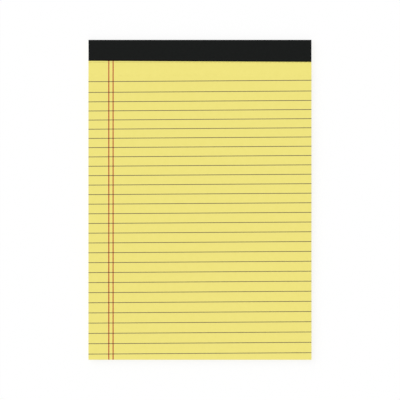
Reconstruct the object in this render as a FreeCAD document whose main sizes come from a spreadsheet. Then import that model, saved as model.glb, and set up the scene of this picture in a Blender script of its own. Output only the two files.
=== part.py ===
import FreeCAD, Part

import math
import os

import Sketcher

# A head-bound legal pad, lying on its back: a block of ruled sheets and a chipboard back,
# wire-stitched together at the head under a folded strip of binding tape.
# Millimetres. +X runs to the right of the writing face, +Y to the head and +Z out of the face.
# The origin is at the middle of the pad's outline, on the surface that the pad lies on.

SIZES = {
    "pad_width": 208.0,
    "pad_length": 298.4,
    # The block of sheets. The press at the head leaves it thinner there than in the open.
    "sheet_count": 50,
    "sheet_thickness": 0.09,
    "head_nip": 0.35,
    "nip_beyond_perforation": 2.0,
    "nip_ramp": 10.0,
    "board_thickness": 0.75,
    # The binding tape. It is one strip, laid on a little askew, so its two edges slope
    # opposite ways. Its back leg is rolled slightly into the soft board.
    "tape_width": 45.0,
    "tape_thickness": 0.15,
    "tape_reach": 20.08,
    "tape_skew": 0.28,
    "tape_seat": 0.05,
    # The perforation: cuts through every sheet, with ties of whole paper between them.
    "perforation_gap": 1.1,
    "perforation_cut": 3.0,
    "perforation_tie": 1.0,
    "perforation_slit": 0.12,
    # The staples, of flat wire, pressed flush with the sheets and clinched inward on the board.
    "staple_count": 3,
    "staple_spacing": 70.0,
    "staple_inset": 9.5,
    "staple_wire": 0.45,
    "staple_width": 0.6,
    "staple_crown": 12.7,
    "staple_fold": 4.2,
    "staple_bend": 0.55,
    "staple_clearance": 0.03,
    # The ruling. Its pitch opens out from the head to the tail, apart from the first
    # spaces, which are wider again by a spread that fades from one space to the next.
    "ink_depth": 0.03,
    "rule_width": 0.6,
    "rule_skew": 0.374,
    "header_depth": 38.41,
    "rule_pitch": 8.31,
    "pitch_growth": 0.0505,
    "head_spread": 1.7,
    "spread_fade": 0.25,
    "tail_margin": 5.0,
    # The double margin line, from the sheet's left edge.
    "margin_inset": 18.98,
    "margin_gap": 3.99,
    "margin_width": 1.0,
}

# Places that several pieces share, each worked out from the sizes.
HEAD = "sizes.pad_length / 2"
TAIL = "-sizes.pad_length / 2"
RIGHT = "sizes.pad_width / 2"
LEFT = "-sizes.pad_width / 2"
INNER_HEAD = f"({HEAD} - sizes.tape_thickness)"
BOARD_BACK = "(sizes.tape_thickness - sizes.tape_seat)"
BOARD_TOP = f"({BOARD_BACK} + sizes.board_thickness)"
OPEN_TOP = f"({BOARD_TOP} + sizes.sheet_count * sizes.sheet_thickness)"
HEAD_TOP = f"({OPEN_TOP} - sizes.head_nip)"
TAPE_TOP = f"({HEAD_TOP} + sizes.tape_thickness)"
TAPE_SLOPE = f"({RIGHT} * tan(sizes.tape_skew * 1 deg))"
FRONT_REACH = "sizes.tape_reach"
BACK_REACH = f"(sizes.tape_width - {TAPE_TOP} - sizes.tape_reach)"
PERFORATION = f"({HEAD} - sizes.tape_reach - sizes.perforation_gap)"
NIP_END = f"({PERFORATION} - sizes.nip_beyond_perforation)"
RAMP_END = f"({NIP_END} - sizes.nip_ramp)"
CROWN = f"({HEAD_TOP} - sizes.staple_wire / 2)"
CLINCH = "(sizes.tape_thickness + sizes.staple_wire / 2)"


def write_sizes(doc):
    """Puts the driving dimensions in a sheet, one row each, with the name as the alias."""
    sheet = doc.addObject("Spreadsheet::Sheet", "sizes")
    for row, (name, value) in enumerate(SIZES.items(), start=1):
        sheet.set(f"A{row}", name)
        sheet.set(f"B{row}", str(value))
        sheet.setAlias(f"B{row}", name)
    doc.recompute()
    return sheet


def origin_part(body, role):
    """The body's own origin plane or axis of that role."""
    for feature in body.Origin.OriginFeatures:
        if feature.Role == role:
            return feature
    raise ValueError(f"{body.Label} has no {role}")


def new_body(doc, name):
    body = doc.addObject("PartDesign::Body", name)
    body.AllowCompound = True
    return body


def new_sketch(body, name, plane, offset="0"):
    """A sketch on one of the body's origin planes, moved along its normal by an offset."""
    sketch = body.newObject("Sketcher::SketchObject", name)
    sketch.AttachmentSupport = [(origin_part(body, plane), "")]
    sketch.MapMode = "FlatFace"
    sketch.setExpression("AttachmentOffset.Base.z", offset)
    return sketch


def constrain(sketch, expression, *what):
    """Adds a constraint whose value follows an expression of the sizes."""
    value = float(sketch.evalExpression(expression))
    index = sketch.addConstraint(Sketcher.Constraint(*what, value))
    sketch.setExpression(f"Constraints[{index}]", expression)


def point(sketch, corner):
    """The place that a pair of expressions gives, where a line or circle is first drawn."""
    across, along = corner
    return FreeCAD.Vector(
        float(sketch.evalExpression(across)), float(sketch.evalExpression(along)), 0
    )


def hold(sketch, corner, line, end):
    """Holds one end of a line at the place that a pair of expressions gives."""
    across, along = corner
    constrain(sketch, across, "DistanceX", -1, 1, line, end)
    constrain(sketch, along, "DistanceY", -1, 1, line, end)


def draw_outline(sketch, corners):
    """Draws a closed outline of straight lines, with each corner held by its expressions."""
    points = [point(sketch, corner) for corner in corners]
    for line, start in enumerate(points):
        sketch.addGeometry(Part.LineSegment(start, points[(line + 1) % len(points)]))
    for line, corner in enumerate(corners):
        before = (line - 1) % len(corners)
        sketch.addConstraint(Sketcher.Constraint("Coincident", before, 2, line, 1))
        hold(sketch, corner, line, 1)


def add_pad(body, name, sketch, length, symmetric=False):
    pad = body.newObject("PartDesign::Pad", name)
    pad.Profile = sketch
    pad.SideType = "Symmetric" if symmetric else "One side"
    pad.setExpression("Length", length)
    return pad


def rectangle(left, right, tail, head):
    return [(left, tail), (right, tail), (right, head), (left, head)]


def leg_outline(reach, slope):
    """One leg of the tape seen from above: it ends along a line that slopes by the skew."""
    return [
        (LEFT, HEAD),
        (RIGHT, HEAD),
        (RIGHT, f"{HEAD} - {reach} - {slope}"),
        (LEFT, f"{HEAD} - {reach} + {slope}"),
    ]


def make_tape(doc):
    """The folded strip: a spine over the head, a front leg and a back leg."""
    body = new_body(doc, "tape_body")
    spine_sketch = new_sketch(body, "tape_spine_outline", "XY_Plane")
    draw_outline(spine_sketch, rectangle(LEFT, RIGHT, INNER_HEAD, HEAD))
    add_pad(body, "tape_spine", spine_sketch, TAPE_TOP)

    front_sketch = new_sketch(body, "tape_front_outline", "XY_Plane", HEAD_TOP)
    draw_outline(front_sketch, leg_outline(FRONT_REACH, TAPE_SLOPE))
    add_pad(body, "tape_front_leg", front_sketch, "sizes.tape_thickness")

    back_sketch = new_sketch(body, "tape_back_outline", "XY_Plane")
    draw_outline(back_sketch, leg_outline(BACK_REACH, f"-{TAPE_SLOPE}"))
    legs = add_pad(body, "tape_back_leg", back_sketch, "sizes.tape_thickness")
    doc.recompute()

    # The strip bends round the head's two sharp edges, so outside it turns in an arc
    # as large as the tape is thick.
    head = float(body.evalExpression(HEAD))
    folds = []
    for number, edge in enumerate(legs.Shape.Edges, start=1):
        box = edge.BoundBox
        runs_across = box.XLength > box.ZLength
        if runs_across and abs(box.YMin - head) < 1e-6 and abs(box.YMax - head) < 1e-6:
            folds.append(f"Edge{number}")
    rounding = body.newObject("PartDesign::Fillet", "tape_folds")
    rounding.Base = (legs, folds)
    rounding.setExpression("Radius", "sizes.tape_thickness")
    body.Tip = rounding
    return body


def make_board(doc):
    """The chipboard back, with the shallow step that the tape's back leg is rolled into."""
    body = new_body(doc, "board_body")
    outline = new_sketch(body, "board_outline", "XY_Plane", BOARD_BACK)
    draw_outline(outline, rectangle(LEFT, RIGHT, TAIL, INNER_HEAD))
    board = add_pad(body, "board_plate", outline, "sizes.board_thickness")
    doc.recompute()

    seat_outline = new_sketch(body, "tape_seat_outline", "XY_Plane", BOARD_BACK)
    draw_outline(seat_outline, leg_outline(BACK_REACH, f"-{TAPE_SLOPE}"))
    seat = body.newObject("PartDesign::Pocket", "tape_seat_step")
    seat.Profile = seat_outline
    seat.Reversed = True
    seat.setExpression("Length", "sizes.tape_seat")
    doc.recompute()
    if seat.Shape.Volume >= board.Shape.Volume:
        raise ValueError("the tape's seat cuts nothing from the board")
    return body


def make_block(doc):
    """The sheets as one block: full height in the open, pressed thinner at the head."""
    body = new_body(doc, "block_body")
    side_view = new_sketch(body, "block_side_view", "YZ_Plane")
    draw_outline(side_view, [
        (TAIL, BOARD_TOP),
        (INNER_HEAD, BOARD_TOP),
        (INNER_HEAD, HEAD_TOP),
        (NIP_END, HEAD_TOP),
        (RAMP_END, OPEN_TOP),
        (TAIL, OPEN_TOP),
    ])
    add_pad(body, "block_sheets", side_view, "sizes.pad_width", symmetric=True)
    return body


def make_perforation(doc):
    """The row of cuts, as solids that reach through every sheet and stop at the board."""
    body = new_body(doc, "perforation_body")
    pitch = "(sizes.perforation_cut + sizes.perforation_tie)"
    count = f"floor(sizes.pad_width / {pitch})"
    first = f"(-({count} - 1) / 2 * {pitch})"
    outline = new_sketch(body, "perforation_outline", "XY_Plane", BOARD_TOP)
    draw_outline(outline, rectangle(
        f"{first} - sizes.perforation_cut / 2",
        f"{first} + sizes.perforation_cut / 2",
        f"{PERFORATION} - sizes.perforation_slit / 2",
        f"{PERFORATION} + sizes.perforation_slit / 2",
    ))
    slit = add_pad(body, "perforation_first", outline, f"{OPEN_TOP} - {BOARD_TOP}")
    row = body.newObject("PartDesign::LinearPattern", "perforation_row")
    row.Originals = [slit]
    row.Direction = (origin_part(body, "X_Axis"), [""])
    row.Mode = "Spacing"
    row.setExpression("Offset", pitch)
    row.setExpression("Occurrences", count)
    body.Tip = row
    return body


def draw_staple_path(sketch, fold):
    """One staple's centre line, drawn clockwise: a fold, a leg, the crown, a leg and a fold."""
    side = "sizes.staple_crown / 2"
    left = f"-{side} + sizes.staple_bend"
    right = f"{side} - sizes.staple_bend"
    low = f"{CLINCH} + sizes.staple_bend"
    high = f"{CROWN} - sizes.staple_bend"
    runs = [
        ((f"-{side} + {fold}", CLINCH), (left, CLINCH)),
        ((f"-{side}", low), (f"-{side}", high)),
        ((left, CROWN), (right, CROWN)),
        ((side, high), (side, low)),
        ((right, CLINCH), (f"{side} - {fold}", CLINCH)),
    ]
    for run, (start, end) in enumerate(runs):
        sketch.addGeometry(Part.LineSegment(point(sketch, start), point(sketch, end)))
        hold(sketch, start, run, 1)
        hold(sketch, end, run, 2)

    radius = float(sketch.evalExpression("sizes.staple_bend"))
    for run, centre in enumerate([(left, low), (left, high), (right, high), (right, low)]):
        circle = Part.Circle(point(sketch, centre), FreeCAD.Vector(0, 0, 1), radius)
        first_angle = math.pi - run * math.pi / 2
        arc = sketch.addGeometry(Part.ArcOfCircle(circle, first_angle, first_angle + math.pi / 2))
        sketch.addConstraint(Sketcher.Constraint("Coincident", run + 1, 1, arc, 1))
        sketch.addConstraint(Sketcher.Constraint("Coincident", run, 2, arc, 2))
        constrain(sketch, "sizes.staple_bend", "Radius", arc)


def make_staples(doc, name, spare):
    """A row of staples swept along their centre line, or their channels, with a spare all round."""
    body = new_body(doc, f"{name}_body")
    fold = f"(sizes.staple_fold + {spare})"
    path = new_sketch(body, f"{name}_path", "XZ_Plane")
    draw_staple_path(path, fold)

    section = new_sketch(body, f"{name}_section", "YZ_Plane", f"-sizes.staple_crown / 2 + {fold}")
    draw_outline(section, rectangle(
        f"-sizes.staple_width / 2 - {spare}",
        f"sizes.staple_width / 2 + {spare}",
        f"{CLINCH} - sizes.staple_wire / 2 - {spare}",
        f"{CLINCH} + sizes.staple_wire / 2 + {spare}",
    ))
    sweep = body.newObject("PartDesign::AdditivePipe", f"{name}_sweep")
    sweep.Profile = section
    sweep.Spine = path
    row = body.newObject("PartDesign::LinearPattern", f"{name}_row")
    row.Originals = [sweep]
    row.Direction = (origin_part(body, "X_Axis"), [""])
    row.Mode = "Spacing"
    row.setExpression("Offset", "sizes.staple_spacing")
    row.setExpression("Occurrences", "sizes.staple_count")
    body.Tip = row
    body.setExpression("Placement.Base.x", "-(sizes.staple_count - 1) / 2 * sizes.staple_spacing")
    body.setExpression("Placement.Base.y", f"{HEAD} - sizes.staple_inset")
    return body


def rule_spaces(sheet):
    """The spaces between rules, down to the last rule that keeps clear of the tail."""
    spaces = []
    depth = sheet.header_depth
    spread = sheet.head_spread
    while True:
        space = sheet.rule_pitch + sheet.pitch_growth * len(spaces) + spread
        depth += space
        if depth > sheet.pad_length - sheet.tail_margin:
            return spaces
        spaces.append(space)
        spread *= sheet.spread_fade


def make_rules(doc, sheet):
    """The rules as thin ink solids, each running askew from one side edge to the other."""
    body = new_body(doc, "rules_body")
    rise = f"({RIGHT} * tan(sizes.rule_skew * 1 deg))"
    half = "(sizes.rule_width / 2 / cos(sizes.rule_skew * 1 deg))"
    middle = f"({HEAD} - sizes.header_depth)"
    outline = new_sketch(body, "first_rule_outline", "XY_Plane", f"{OPEN_TOP} - sizes.ink_depth")
    draw_outline(outline, [
        (LEFT, f"{middle} - {rise} - {half}"),
        (RIGHT, f"{middle} + {rise} - {half}"),
        (RIGHT, f"{middle} + {rise} + {half}"),
        (LEFT, f"{middle} - {rise} + {half}"),
    ])
    rule = add_pad(body, "first_rule", outline, "sizes.ink_depth")
    spaces = rule_spaces(sheet)
    ruling = body.newObject("PartDesign::LinearPattern", "ruling")
    ruling.Originals = [rule]
    ruling.Direction = (origin_part(body, "Y_Axis"), [""])
    ruling.Reversed = True
    ruling.Mode = "Spacing"
    ruling.Occurrences = len(spaces) + 1
    ruling.Spacings = spaces
    body.Tip = ruling
    return body


def make_margins(doc):
    """The double margin line, which follows the sheet's surface down to the head."""
    body = new_body(doc, "margins_body")
    side_view = new_sketch(body, "margin_side_view", "YZ_Plane", f"{LEFT} + sizes.margin_inset")
    draw_outline(side_view, [
        (INNER_HEAD, HEAD_TOP),
        (NIP_END, HEAD_TOP),
        (RAMP_END, OPEN_TOP),
        (TAIL, OPEN_TOP),
        (TAIL, f"{OPEN_TOP} - sizes.ink_depth"),
        (RAMP_END, f"{OPEN_TOP} - sizes.ink_depth"),
        (NIP_END, f"{HEAD_TOP} - sizes.ink_depth"),
        (INNER_HEAD, f"{HEAD_TOP} - sizes.ink_depth"),
    ])
    line = add_pad(body, "first_margin_line", side_view, "sizes.margin_width", symmetric=True)
    pair = body.newObject("PartDesign::LinearPattern", "margin_pair")
    pair.Originals = [line]
    pair.Direction = (origin_part(body, "X_Axis"), [""])
    pair.Mode = "Spacing"
    pair.setExpression("Offset", "sizes.margin_gap")
    pair.Occurrences = 2
    body.Tip = pair
    return body


def cut(doc, name, base, tool):
    result = doc.addObject("Part::Cut", name)
    result.Base = base
    result.Tool = tool
    return result


def check(doc, pieces):
    """Stops if an object failed quietly, or if a piece has no sound solid."""
    for item in doc.Objects:
        if "Invalid" in item.State or "Error" in item.State:
            raise ValueError(f"{item.Name} is {item.State}")
    for piece in pieces:
        if piece.Shape.isNull() or not piece.Shape.isValid() or not piece.Shape.Solids:
            raise ValueError(f"{piece.Label} has no sound solid")


def build():
    doc = FreeCAD.newDocument("legal_pad")
    sheet = write_sizes(doc)

    tape = make_tape(doc)
    staples = make_staples(doc, "staple", "0")
    channels = make_staples(doc, "channel", "sizes.staple_clearance")
    perforation = make_perforation(doc)
    margins = cut(doc, "margin_ink", make_margins(doc), perforation)
    rules = cut(doc, "rule_ink", make_rules(doc, sheet), margins)

    board = cut(doc, "stitched_board", make_board(doc), channels)
    block = make_block(doc)
    for name, tool in (
        ("perforated_block", perforation),
        ("stitched_block", channels),
        ("margined_block", margins),
        ("ruled_block", rules),
    ):
        block = cut(doc, name, block, tool)

    nodes = {
        "sheet_block": block,
        "backing_board": board,
        "binding_tape": tape,
        "staples": staples,
        "rule_lines": rules,
        "margin_lines": margins,
    }
    for label, piece in nodes.items():
        piece.Label = label
    doc.recompute()
    check(doc, nodes.values())
    return nodes.values()


os.makedirs("parts", exist_ok=True)
for piece in build():
    piece.Shape.exportStep(f"parts/{piece.Label}.step")
    print(piece.Label, len(piece.Shape.Solids), "solids,", round(piece.Shape.Volume, 2), "mm3")
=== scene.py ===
import math

import bpy
import numpy as np
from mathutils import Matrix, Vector


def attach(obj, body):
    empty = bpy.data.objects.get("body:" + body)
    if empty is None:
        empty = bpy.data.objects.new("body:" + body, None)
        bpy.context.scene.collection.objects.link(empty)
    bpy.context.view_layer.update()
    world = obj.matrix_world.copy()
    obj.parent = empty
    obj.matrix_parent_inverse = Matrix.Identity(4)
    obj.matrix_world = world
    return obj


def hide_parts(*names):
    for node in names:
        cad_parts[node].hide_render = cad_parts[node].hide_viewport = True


# A yellow legal pad on its back, seen straight from above: a chipboard back and a block of
# ruled sheets, stapled through the head under a folded strip of black binding paper.

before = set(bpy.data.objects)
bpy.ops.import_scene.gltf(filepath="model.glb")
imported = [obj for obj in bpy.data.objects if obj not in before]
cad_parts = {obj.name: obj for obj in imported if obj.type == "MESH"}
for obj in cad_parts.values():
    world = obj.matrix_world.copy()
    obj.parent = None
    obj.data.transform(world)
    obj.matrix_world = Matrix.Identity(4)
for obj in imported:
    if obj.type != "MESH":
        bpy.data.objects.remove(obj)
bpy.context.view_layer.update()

# The back: a sheet of grey chipboard, pressed from waste paper and board in one thick ply.
# It is cut with the sheets in one trim, so its edges are flush with theirs. The pulp is
# uneven: small dark and pale shreds show in it, and the face is calendered nearly smooth.

MM = 0.001


def linear(hexadecimal):
    """A colour written as sRGB hex, as the linear values that the shader wants."""
    channels = [int(hexadecimal[at:at + 2], 16) / 255 for at in (1, 3, 5)]
    straight = [c / 12.92 if c <= 0.04045 else ((c + 0.055) / 1.055) ** 2.4 for c in channels]
    return (*straight, 1.0)


def add_node(tree, kind, settings=None, values=None, links=None):
    """Adds a shader node, with its settings, its sockets' values and the sockets linked to it."""
    node = tree.nodes.new(kind)
    for name, setting in (settings or {}).items():
        setattr(node, name, setting)
    for name, value in (values or {}).items():
        node.inputs[name].default_value = value
    for name, source in (links or {}).items():
        tree.links.new(source, node.inputs[name])
    return node


def start_material(name, roughness, ior, specular):
    """A material with one surface shader, whose uniform values are set on its own sockets."""
    material = bpy.data.materials.new(name)
    material.use_nodes = True
    tree = material.node_tree
    surface = tree.nodes["Principled BSDF"]
    surface.inputs["Roughness"].default_value = roughness
    surface.inputs["IOR"].default_value = ior
    surface.inputs["Specular IOR Level"].default_value = specular
    place = add_node(tree, "ShaderNodeTexCoord").outputs["Object"]
    return material, tree, surface, place


def wear(piece, material):
    """Gives a piece that material alone."""
    piece.data.materials.clear()
    piece.data.materials.append(material)


def per_metre(size):
    """The pattern scale at which one cell of a texture is that long."""
    return 1 / size


# Chipboard: uncoated, so it is matt, with the typical IOR of cellulose.
chipboard, tree, surface, place = start_material("grey_chipboard", 0.85, 1.47, 0.3)
# The pulp is cloudy, in patches of about 9 mm.
cloud = add_node(
    tree, "ShaderNodeTexNoise",
    values={"Scale": per_metre(9 * MM), "Detail": 4.0, "Roughness": 0.6},
    links={"Vector": place},
)
pulp = add_node(tree, "ShaderNodeValToRGB", links={"Fac": cloud.outputs["Fac"]})
pulp.color_ramp.elements[0].position = 0.3
pulp.color_ramp.elements[0].color = linear("#8A7F6D")
pulp.color_ramp.elements[1].position = 0.7
pulp.color_ramp.elements[1].color = linear("#9C917E")
# The shreds lie in the face, so they are stretched patches about 1 mm long, a little askew.
grain = add_node(
    tree, "ShaderNodeMapping",
    values={"Scale": (1.0, 0.35, 1.0), "Rotation": (0.0, 0.0, math.radians(8))},
    links={"Vector": place},
)
shreds = add_node(
    tree, "ShaderNodeTexNoise",
    values={"Scale": per_metre(0.7 * MM), "Detail": 3.0, "Roughness": 0.7},
    links={"Vector": grain.outputs["Vector"]},
)
dark_shreds = add_node(
    tree, "ShaderNodeMapRange",
    values={"From Min": 0.62, "From Max": 0.74, "To Min": 0.0, "To Max": 0.75},
    links={"Value": shreds.outputs["Fac"]},
)
pale_shreds = add_node(
    tree, "ShaderNodeMapRange",
    values={"From Min": 0.38, "From Max": 0.26, "To Min": 0.0, "To Max": 0.6},
    links={"Value": shreds.outputs["Fac"]},
)
with_dark = add_node(
    tree, "ShaderNodeMix", {"data_type": "RGBA"},
    {"B": linear("#5E564A")},
    {"Factor": dark_shreds.outputs["Result"], "A": pulp.outputs["Color"]},
)
with_pale = add_node(
    tree, "ShaderNodeMix", {"data_type": "RGBA"},
    {"B": linear("#C9C0AE")},
    {"Factor": pale_shreds.outputs["Result"], "A": with_dark.outputs["Result"]},
)
tree.links.new(with_pale.outputs["Result"], surface.inputs["Base Color"])
relief = add_node(
    tree, "ShaderNodeBump",
    values={"Strength": 0.35, "Distance": 0.05 * MM},
    links={"Height": shreds.outputs["Fac"]},
)
tree.links.new(relief.outputs["Normal"], surface.inputs["Normal"])
wear(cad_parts["backing_board"], chipboard)

# The sheets: fifty leaves of yellow writing paper, dyed in the pulp and left uncoated. They
# are pressed thinner at the head, where each is perforated just beyond the tape, and lie
# free from there to the tail, so the leaves are a little uneven at the trim and at the tail.

SHEET_COUNT = 50
CLOSE = 0.002 * MM
TRIM_UNEVENNESS = 0.025 * MM
TRIM_SEED = 7
# The leaves lift over the last stretch to the tail, the upper ones most, and the left corner
# lifts only that share as far as the right one.
LOOSE_LENGTH = 110 * MM
TAIL_LIFT = 0.3 * MM
LEFT_SHARE = 0.55
LIFT_POWER = 5
SLIT_ZONE = 4 * MM
COLUMN_COUNT = 13
LOOSE_ROWS = 15
RAMP_ROWS = 9


def node_points(name):
    """The corners of a node's solid, one row for each."""
    return np.array([vertex.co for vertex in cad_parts[name].data.vertices], float)


block = node_points("sheet_block")
LEFT, TAIL, BOARD_TOP = block.min(axis=0)
RIGHT, HEAD, OPEN_TOP = block.max(axis=0)
HEAD_TOP = block[block[:, 1] > HEAD - CLOSE][:, 2].max()
NIP_END = block[abs(block[:, 2] - HEAD_TOP) < CLOSE][:, 1].min()
RAMP_END = block[abs(block[:, 2] - OPEN_TOP) < CLOSE][:, 1].max()
# The slits reach down to the board, where no printed line is let into the block.
by_the_tape = (block[:, 1] > NIP_END + CLOSE) & (block[:, 1] < NIP_END + SLIT_ZONE)
slits = block[by_the_tape & (abs(block[:, 2] - BOARD_TOP) < CLOSE)]
SLIT_TAIL = slits[:, 1].min()
SLIT_HEAD = slits[:, 1].max()
SLIT_ENDS = sorted(set(slits[:, 0].round(6)))
SHEET_THICKNESS = (HEAD_TOP - BOARD_TOP) / SHEET_COUNT
COLUMNS = np.linspace(LEFT, RIGHT, COLUMN_COUNT)
ROWS = [
    *np.linspace(TAIL, RAMP_END, LOOSE_ROWS),
    *np.linspace(RAMP_END, NIP_END, RAMP_ROWS)[1:],
    SLIT_TAIL,
    SLIT_HEAD,
    HEAD,
]


def smooth_step(share):
    """Eases a share from 0 to 1, level at both ends, as a bent leaf does."""
    share = min(max(share, 0.0), 1.0)
    return share * share * (3 - 2 * share)


def sheet_face(x, y, share=1.0):
    """The point on the face of the leaf that lies at a share of the stack's height."""
    rise = smooth_step((NIP_END - y) / (NIP_END - RAMP_END))
    top = HEAD_TOP + (OPEN_TOP - HEAD_TOP) * rise
    loose = max(0.0, (TAIL + LOOSE_LENGTH - y) / LOOSE_LENGTH) ** 2
    side = LEFT_SHARE + (1 - LEFT_SHARE) * (x - LEFT) / (RIGHT - LEFT)
    lift = TAIL_LIFT * loose * side * share ** LIFT_POWER
    return Vector((x, y, BOARD_TOP + share * (top - BOARD_TOP) + lift))


def new_piece(name, points, faces):
    """A mesh object that rides on the pad's one body."""
    mesh = bpy.data.meshes.new(name)
    mesh.from_pydata([tuple(p) for p in points], [], faces)
    mesh.update()
    piece = bpy.data.objects.new(name, mesh)
    bpy.context.scene.collection.objects.link(piece)
    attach(piece, "root")
    return piece


def thicken(piece, thickness, offset=-1.0):
    """Gives a surface its thickness, on the side away from its face unless told otherwise."""
    solid = piece.modifiers.new("thickness", "SOLIDIFY")
    solid.thickness = thickness
    solid.offset = offset


draw = np.random.default_rng(TRIM_SEED)
left_trims = draw.normal(0, TRIM_UNEVENNESS, SHEET_COUNT)
right_trims = draw.normal(0, TRIM_UNEVENNESS, SHEET_COUNT)
tail_trims = draw.normal(0, TRIM_UNEVENNESS, SHEET_COUNT)
# The top leaf keeps the outline of the block.
for trims in (left_trims, right_trims, tail_trims):
    trims[-1] = 0.0

points = []
faces = []
for leaf in range(SHEET_COUNT):
    share = (leaf + 1) / SHEET_COUNT
    rows = []
    for y in ROWS:
        perforated = y in (SLIT_TAIL, SLIT_HEAD)
        stations = [LEFT, *SLIT_ENDS, RIGHT] if perforated else list(COLUMNS)
        stations[0] += left_trims[leaf]
        stations[-1] += right_trims[leaf]
        trimmed = y + (tail_trims[leaf] if y == TAIL else 0.0)
        rows.append([len(points) + number for number in range(len(stations))])
        points += [sheet_face(x, trimmed, share) for x in stations]
    for low, high in zip(rows, rows[1:]):
        if len(low) != len(high):
            faces.append(low + high[::-1])
            continue
        # Along the perforation only every other cell, a tie, is paper.
        step = 2 if len(low) > len(COLUMNS) else 1
        for cell in range(0, len(low) - 1, step):
            faces.append([low[cell], low[cell + 1], high[cell + 1], high[cell]])
sheets = new_piece("ruled_sheets", points, faces)
thicken(sheets, SHEET_THICKNESS)
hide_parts("sheet_block")

# Uncoated paper scatters nearly all light and has hardly any gloss.
paper, tree, surface, place = start_material("yellow_writing_paper", 0.92, 1.47, 0.12)
# Formation, the cloudiness of the pulp, in patches of about 5 mm, and fibres of about 0.3 mm.
formation = add_node(
    tree, "ShaderNodeTexNoise",
    values={"Scale": per_metre(5 * MM), "Detail": 3.0},
    links={"Vector": place},
)
fibres = add_node(
    tree, "ShaderNodeTexNoise",
    values={"Scale": per_metre(0.3 * MM), "Detail": 2.0, "Roughness": 0.7},
    links={"Vector": place},
)
both = add_node(
    tree, "ShaderNodeMix",
    values={"Factor": 0.5},
    links={"A": formation.outputs["Fac"], "B": fibres.outputs["Fac"]},
)
pulp = add_node(tree, "ShaderNodeValToRGB", links={"Fac": both.outputs["Result"]})
pulp.color_ramp.elements[0].position = 0.25
pulp.color_ramp.elements[0].color = linear("#EEE27C")
pulp.color_ramp.elements[1].position = 0.75
pulp.color_ramp.elements[1].color = linear("#F2E682")
tree.links.new(pulp.outputs["Color"], surface.inputs["Base Color"])
relief = add_node(
    tree, "ShaderNodeBump",
    values={"Strength": 0.15, "Distance": 0.02 * MM},
    links={"Height": fibres.outputs["Fac"]},
)
tree.links.new(relief.outputs["Normal"], surface.inputs["Normal"])
wear(sheets, paper)

# The rules: thin dark lines of water-based ink, printed from edge to edge on a ruling
# machine before the sheets are gathered, so they run off both trimmed sides. The ink has
# sunk into the paper; here it is a film just over it, thick enough to be sure of its place.

INK_FILM = 0.006 * MM
FILM_GAP = 0.002 * MM
RULE_LAYER = 0


def on_sheet(x, y, layer):
    """A point on the top sheet, at the upper face of one of the films of ink that lie on it."""
    return sheet_face(x, y) + Vector((0, 0, (layer + 1) * (INK_FILM + FILM_GAP)))


def in_pairs(places):
    """The two sides of each line, from the places of all the corners along one axis."""
    ordered = sorted(set(places.round(6)))
    return list(zip(ordered[::2], ordered[1::2]))


rule_points = node_points("rule_lines")
rule_ends = [in_pairs(rule_points[abs(rule_points[:, 0] - x) < CLOSE][:, 1]) for x in (LEFT, RIGHT)]
rules = list(zip(*rule_ends))


def rule_place(rule, x):
    """The tail-side and head-side places of a rule at x, on its straight way across."""
    at_left, at_right = rule
    share = (x - LEFT) / (RIGHT - LEFT)
    return [a + (b - a) * share for a, b in zip(at_left, at_right)]


points = []
faces = []
for rule in rules:
    first = len(points)
    for x in COLUMNS:
        points += [on_sheet(x, y, RULE_LAYER) for y in rule_place(rule, x)]
    for column in range(len(COLUMNS) - 1):
        at = first + 2 * column
        faces.append([at, at + 2, at + 3, at + 1])
rule_film = new_piece("rules", points, faces)
thicken(rule_film, INK_FILM)
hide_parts("rule_lines")


def ink_material(name, thin, full):
    """Printing ink on uncoated paper: matt, and a little lighter where the paper took less."""
    ink, tree, surface, place = start_material(name, 0.8, 1.5, 0.15)
    cover = add_node(
        tree, "ShaderNodeTexNoise",
        values={"Scale": per_metre(0.8 * MM), "Detail": 3.0},
        links={"Vector": place},
    )
    shade = add_node(tree, "ShaderNodeValToRGB", links={"Fac": cover.outputs["Fac"]})
    shade.color_ramp.elements[0].position = 0.3
    shade.color_ramp.elements[0].color = linear(thin)
    shade.color_ramp.elements[1].position = 0.7
    shade.color_ramp.elements[1].color = linear(full)
    tree.links.new(shade.outputs["Color"], surface.inputs["Base Color"])
    return ink


rule_ink = ink_material("dark_ruling_ink", "#564B50", "#4A3F45")
wear(rule_film, rule_ink)

# The double margin line: two red lines at the writer's left, from the head to the tail,
# printed in the same pass. Each follows the sheet down its slope to the head, and the
# perforation cuts it. Where a rule crosses it, the two inks lie over each other.

MARGIN_LAYER = 1
CROSSING_LAYER = 2

margins = in_pairs(node_points("margin_lines")[:, 0])

points = []
faces = []
for sides in margins:
    first = len(points)
    for y in ROWS:
        points += [on_sheet(x, y, MARGIN_LAYER) for x in sides]
    for row, y in enumerate(ROWS[:-1]):
        if y == SLIT_TAIL:
            continue
        at = first + 2 * row
        faces.append([at, at + 1, at + 3, at + 2])
margin_film = new_piece("margin_rules", points, faces)
thicken(margin_film, INK_FILM)
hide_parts("margin_lines")
wear(margin_film, ink_material("red_ruling_ink", "#C2543E", "#B44228"))

# Each crossing is a darker patch of its own, just over both lines.
points = []
faces = []
for rule in rules:
    for sides in margins:
        at = len(points)
        corners = [(x, y) for x in sides for y in rule_place(rule, x)]
        points += [on_sheet(x, y, CROSSING_LAYER) for x, y in corners]
        faces.append([at, at + 2, at + 3, at + 1])
crossings = new_piece("rule_crossings", points, faces)
thicken(crossings, INK_FILM)
wear(crossings, ink_material("overprinted_inks", "#38141A", "#281014"))

# The ink in the cut edges: where a printed line runs off the sheet, the knife cuts through
# it, and each leaf shows a small dark or red tick at its own trimmed edge. Stacked up, the
# ticks draw a faint column down the side of the pad at every rule.

TICK_DEPTH = 0.45 * SHEET_THICKNESS
tick_points = {"rule": [], "margin": []}
tick_faces = {"rule": [], "margin": []}


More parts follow.
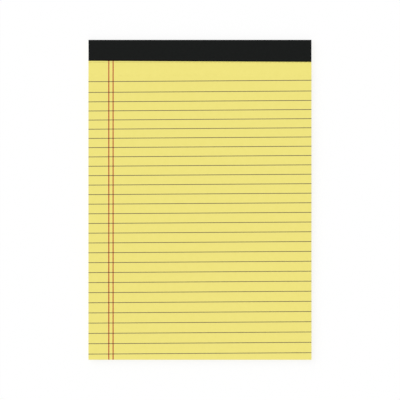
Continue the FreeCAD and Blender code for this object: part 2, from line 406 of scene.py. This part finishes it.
def add_tick(kind, start, end):
    """One upright tick in a leaf's cut edge, down from its upper edge between start and end."""
    at = len(tick_points[kind])
    down = Vector((0, 0, TICK_DEPTH))
    tick_points[kind] += [start - down, end - down, end, start]
    tick_faces[kind].append([at, at + 1, at + 2, at + 3])


for leaf in range(SHEET_COUNT):
    share = (leaf + 1) / SHEET_COUNT
    for rule in rules:
        tail_side, head_side = rule[0]
        x = LEFT + left_trims[leaf]
        add_tick("rule", sheet_face(x, head_side, share), sheet_face(x, tail_side, share))
        tail_side, head_side = rule[1]
        x = RIGHT + right_trims[leaf]
        add_tick("rule", sheet_face(x, tail_side, share), sheet_face(x, head_side, share))
    y = TAIL + tail_trims[leaf]
    for left_side, right_side in margins:
        add_tick("margin", sheet_face(left_side, y, share), sheet_face(right_side, y, share))
for kind, slot_name, ink in (
    ("rule", "rule_ink", ink_material("cut_rule_ink", "#98A06A", "#7F8A5E")),
    ("margin", "margin_ink", ink_material("cut_margin_ink", "#D58A5C", "#C97752")),
):
    ticks = new_piece(f"cut_{kind}_ticks", tick_points[kind], tick_faces[kind])
    thicken(ticks, FILM_GAP, offset=1.0)
    wear(ticks, ink)

# The staples: flat galvanised stitching wire, driven through sheets and board and clinched
# inward on the back, all of it under the tape. Zinc on steel is dull grey with a faint
# draw line along the wire.

zinc, tree, surface, place = start_material("galvanised_wire", 0.38, 1.5, 0.5)
surface.inputs["Metallic"].default_value = 1.0
# The draw lines are 0.2 mm apart and twenty times as long.
lengthwise = add_node(
    tree, "ShaderNodeMapping",
    values={"Scale": (0.05, 1.0, 1.0)},
    links={"Vector": place},
)
drawn = add_node(
    tree, "ShaderNodeTexNoise",
    values={"Scale": per_metre(0.2 * MM), "Detail": 2.0},
    links={"Vector": lengthwise.outputs["Vector"]},
)
shade = add_node(tree, "ShaderNodeValToRGB", links={"Fac": drawn.outputs["Fac"]})
shade.color_ramp.elements[0].color = linear("#A9ABAC")
shade.color_ramp.elements[1].color = linear("#C9CBCB")
tree.links.new(shade.outputs["Color"], surface.inputs["Base Color"])
wear(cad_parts["staples"], zinc)

# The binding tape: a strip of black paper, embossed with a fine leather grain, glued on with
# its two legs on the face and the back and folded tight over the head. It was laid on a
# little askew, so its front edge slopes. On the back the clinched wires press up through it.

CLINCH_RELIEF = 0.06 * MM
WIRE_SPREAD = 0.45 * MM
RELIEF_REACH = 2.5
# The columns lie about 0.7 mm apart, so that the ends of the clinched wires show.
TAPE_COLUMN_COUNT = 313
FRONT_ROWS = 14
FOLD_STEPS = 6
ROWS_BEFORE_WIRE = 5
WIRE_ROWS = 11
ROWS_AFTER_WIRE = 8

tape_points = node_points("binding_tape")
TAPE_HEAD = tape_points[:, 1].max()
TAPE_TOP = tape_points[:, 2].max()
TAPE_THICKNESS = TAPE_HEAD - HEAD
FOLD_RADIUS = 1.5 * TAPE_THICKNESS


def leg_end(height, x):
    """The place of the tape's cut edge at that height and side of the pad."""
    level = abs(tape_points[:, 2] - height) < CLOSE
    side = abs(tape_points[:, 0] - x) < CLOSE
    return tape_points[level & side][:, 1].min()


front_ends = [leg_end(TAPE_TOP, x) for x in (LEFT, RIGHT)]
back_ends = [leg_end(0.0, x) for x in (LEFT, RIGHT)]

staple_points = node_points("staples")
WIRE_LINE = (staple_points[:, 1].min() + staple_points[:, 1].max()) / 2
clinches = in_pairs(staple_points[abs(staple_points[:, 2] - TAPE_THICKNESS) < CLOSE][:, 0])


def clinch_relief(x, y):
    """How far a clinched wire presses the tape's back leg out at that place."""
    across = math.exp(-(((y - WIRE_LINE) / WIRE_SPREAD) ** 2))
    along = 0.0
    for start, end in clinches:
        beyond = max(start - x, x - end, 0.0)
        along = max(along, math.exp(-((beyond / WIRE_SPREAD) ** 2)))
    return CLINCH_RELIEF * across * along


def rolled_fold(x, y, z, angles):
    """Points round a fold of the tape whose middle is at x, y and z, at angles above the level."""
    return [
        Vector((x, y + FOLD_RADIUS * math.cos(angle), z + FOLD_RADIUS * math.sin(angle)))
        for angle in np.radians(angles)
    ]


def tape_section(x):
    """The tape's outer face at x, as a line of points from the front edge round to the back."""
    share = (x - LEFT) / (RIGHT - LEFT)
    front = front_ends[0] + (front_ends[1] - front_ends[0]) * share
    back = back_ends[0] + (back_ends[1] - back_ends[0]) * share
    fold = TAPE_HEAD - FOLD_RADIUS
    section = [Vector((x, y, TAPE_TOP)) for y in np.linspace(front, fold, FRONT_ROWS)]
    section += rolled_fold(x, fold, TAPE_TOP - FOLD_RADIUS, np.linspace(90, 0, FOLD_STEPS + 1)[1:])
    section.append(Vector((x, TAPE_HEAD, TAPE_TOP / 2)))
    section += rolled_fold(x, fold, FOLD_RADIUS, np.linspace(0, -90, FOLD_STEPS + 1))
    near_wire = WIRE_LINE + WIRE_SPREAD * np.linspace(RELIEF_REACH, -RELIEF_REACH, WIRE_ROWS)
    back_rows = (
        *np.linspace(fold, near_wire[0], ROWS_BEFORE_WIRE)[1:-1],
        *near_wire,
        *np.linspace(near_wire[-1], back, ROWS_AFTER_WIRE)[1:],
    )
    section += [Vector((x, y, -clinch_relief(x, y))) for y in back_rows]
    return section


tape_columns = np.linspace(LEFT, RIGHT, TAPE_COLUMN_COUNT)
points = []
for x in tape_columns:
    points += tape_section(x)
row = len(points) // len(tape_columns)
faces = []
for column in range(len(tape_columns) - 1):
    for station in range(row - 1):
        at = column * row + station
        faces.append([at, at + row, at + row + 1, at + 1])
tape = new_piece("binding_strip", points, faces)
for polygon in tape.data.polygons:
    polygon.use_smooth = True
thicken(tape, TAPE_THICKNESS)
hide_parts("binding_tape")

# Embossed black paper: matt, with cells of leather grain about 0.9 mm across. The creases
# are painted darker than the cell tops, as painted shade. The creases wander, so the cells'
# places are stirred by a noise of half their size.
leatherette, tree, surface, place = start_material("leather_grained_paper", 0.7, 1.47, 0.1)
stir = add_node(
    tree, "ShaderNodeTexNoise",
    values={"Scale": per_metre(0.45 * MM), "Detail": 2.0},
    links={"Vector": place},
)
centred = add_node(
    tree, "ShaderNodeVectorMath", {"operation": "SUBTRACT"},
    {1: (0.5, 0.5, 0.5)},
    {0: stir.outputs["Color"]},
)
wandering = add_node(
    tree, "ShaderNodeVectorMath", {"operation": "MULTIPLY_ADD"},
    {1: (0.5 * MM, 0.5 * MM, 0.5 * MM)},
    {0: centred.outputs[0], 2: place},
)
cells = add_node(
    tree, "ShaderNodeTexVoronoi",
    {"feature": "DISTANCE_TO_EDGE"},
    {"Scale": per_metre(0.9 * MM), "Randomness": 1.0},
    {"Vector": wandering.outputs[0]},
)
crease_relief_and_painted_shade = add_node(
    tree, "ShaderNodeMapRange",
    {"interpolation_type": "SMOOTHSTEP"},
    {"From Min": 0.0, "From Max": 0.3, "To Min": 0.0, "To Max": 1.0},
    {"Value": cells.outputs["Distance"]},
)
# Painted shade: the colour runs from nearly black in the creases to a little paler on the cell
# tops; the same crease mask also drives the real bump below.
shade = add_node(tree, "ShaderNodeValToRGB", links={"Fac": crease_relief_and_painted_shade.outputs["Result"]})
shade.color_ramp.elements[0].color = linear("#0C0E0D")
shade.color_ramp.elements[1].color = linear("#141615")
tree.links.new(shade.outputs["Color"], surface.inputs["Base Color"])
relief = add_node(
    tree, "ShaderNodeBump",
    values={"Strength": 0.5, "Distance": 0.03 * MM},
    links={"Height": crease_relief_and_painted_shade.outputs["Result"]},
)
tree.links.new(relief.outputs["Normal"], surface.inputs["Normal"])
wear(tape, leatherette)

# The stage: a wide pale floor under even light. The sky gives most of the light and a broad
# soft sun at the upper left the rest, so that a colour renders about as it is written.

FLOOR_SIDE = 30.0
FLOOR_WHITE = 0.8
SKY_STRENGTH = 0.597
SUN_STRENGTH = 1.637
SUN_SPREAD = math.radians(70)
SUN_SIDE = Vector((-0.6, 0.45, 0.9))
WHITE = linear("#FFFFFF")

floor_mesh = bpy.data.meshes.new("floor")
half = FLOOR_SIDE / 2
floor_mesh.from_pydata(
    [(-half, -half, 0), (half, -half, 0), (half, half, 0), (-half, half, 0)], [], [[0, 1, 2, 3]]
)
floor = bpy.data.objects.new("floor", floor_mesh)
bpy.context.scene.collection.objects.link(floor)


def seen_share(tree, share):
    """That share for rays from the camera, a reflection or glass, and nothing for the rest."""
    path = add_node(tree, "ShaderNodeLightPath")
    seen = path.outputs["Is Camera Ray"]
    for ray in ("Is Glossy Ray", "Is Transmission Ray"):
        seen = add_node(
            tree, "ShaderNodeMath", {"operation": "MAXIMUM"},
            links={0: seen, 1: path.outputs[ray]},
        ).outputs[0]
    return add_node(
        tree, "ShaderNodeMath", {"operation": "MULTIPLY"}, {1: share}, {0: seen}
    ).outputs[0]


# To the camera, and in reflections, the floor is mostly its own white, which keeps a part of
# the pad's shadow. It lights the pad only as plain white board does.
white_floor, tree, surface, _ = start_material("white_floor", 0.9, 1.5, 0.1)
surface.inputs["Base Color"].default_value = WHITE
white = add_node(tree, "ShaderNodeEmission", values={"Color": WHITE, "Strength": 1.0})
blend = add_node(
    tree, "ShaderNodeMixShader",
    links={0: seen_share(tree, FLOOR_WHITE), 1: surface.outputs["BSDF"], 2: white.outputs[0]},
)
tree.links.new(blend.outputs["Shader"], tree.nodes["Material Output"].inputs["Surface"])
floor_mesh.materials.append(white_floor)

# Beyond the floor the sky is seen as white too, while it lights the pad at its own strength.
world = bpy.data.worlds.new("studio")
world.use_nodes = True
tree = world.node_tree
sky = tree.nodes["Background"]
sky.inputs["Color"].default_value = WHITE
sky.inputs["Strength"].default_value = SKY_STRENGTH
white = add_node(tree, "ShaderNodeBackground", values={"Color": WHITE, "Strength": 1.0})
blend = add_node(
    tree, "ShaderNodeMixShader",
    links={0: seen_share(tree, 1.0), 1: sky.outputs[0], 2: white.outputs[0]},
)
tree.links.new(blend.outputs["Shader"], tree.nodes["World Output"].inputs["Surface"])
bpy.context.scene.world = world

sun_light = bpy.data.lights.new("soft_sun", "SUN")
sun_light.energy = SUN_STRENGTH
sun_light.angle = SUN_SPREAD
sun = bpy.data.objects.new("soft_sun", sun_light)
bpy.context.scene.collection.objects.link(sun)
sun.rotation_euler = SUN_SIDE.to_track_quat("Z", "Y").to_euler()

# The camera looks straight down through a long lens. Its height and place put the outline of
# the pad's face where the photograph has it, in its frame of 400 by 400 pixels.

PHOTO_SIDE = 400
FACE_LEFT = 88.46
FACE_RIGHT = 311.49
FACE_HEAD = 39.90
FACE_TAIL = 359.63
LENS = 120.0

camera_data = bpy.data.cameras.new("camera")
camera_data.lens = LENS
camera = bpy.data.objects.new("camera", camera_data)
bpy.context.scene.collection.objects.link(camera)
pixel = (RIGHT - LEFT) / (FACE_RIGHT - FACE_LEFT)
distance = pixel * PHOTO_SIDE * LENS / camera_data.sensor_width
camera.location = (
    (PHOTO_SIDE - FACE_LEFT - FACE_RIGHT) / 2 * pixel,
    (FACE_HEAD + FACE_TAIL - PHOTO_SIDE) / 2 * pixel,
    OPEN_TOP + distance,
)
bpy.context.scene.camera = camera
bpy.context.scene.view_settings.view_transform = "Standard"
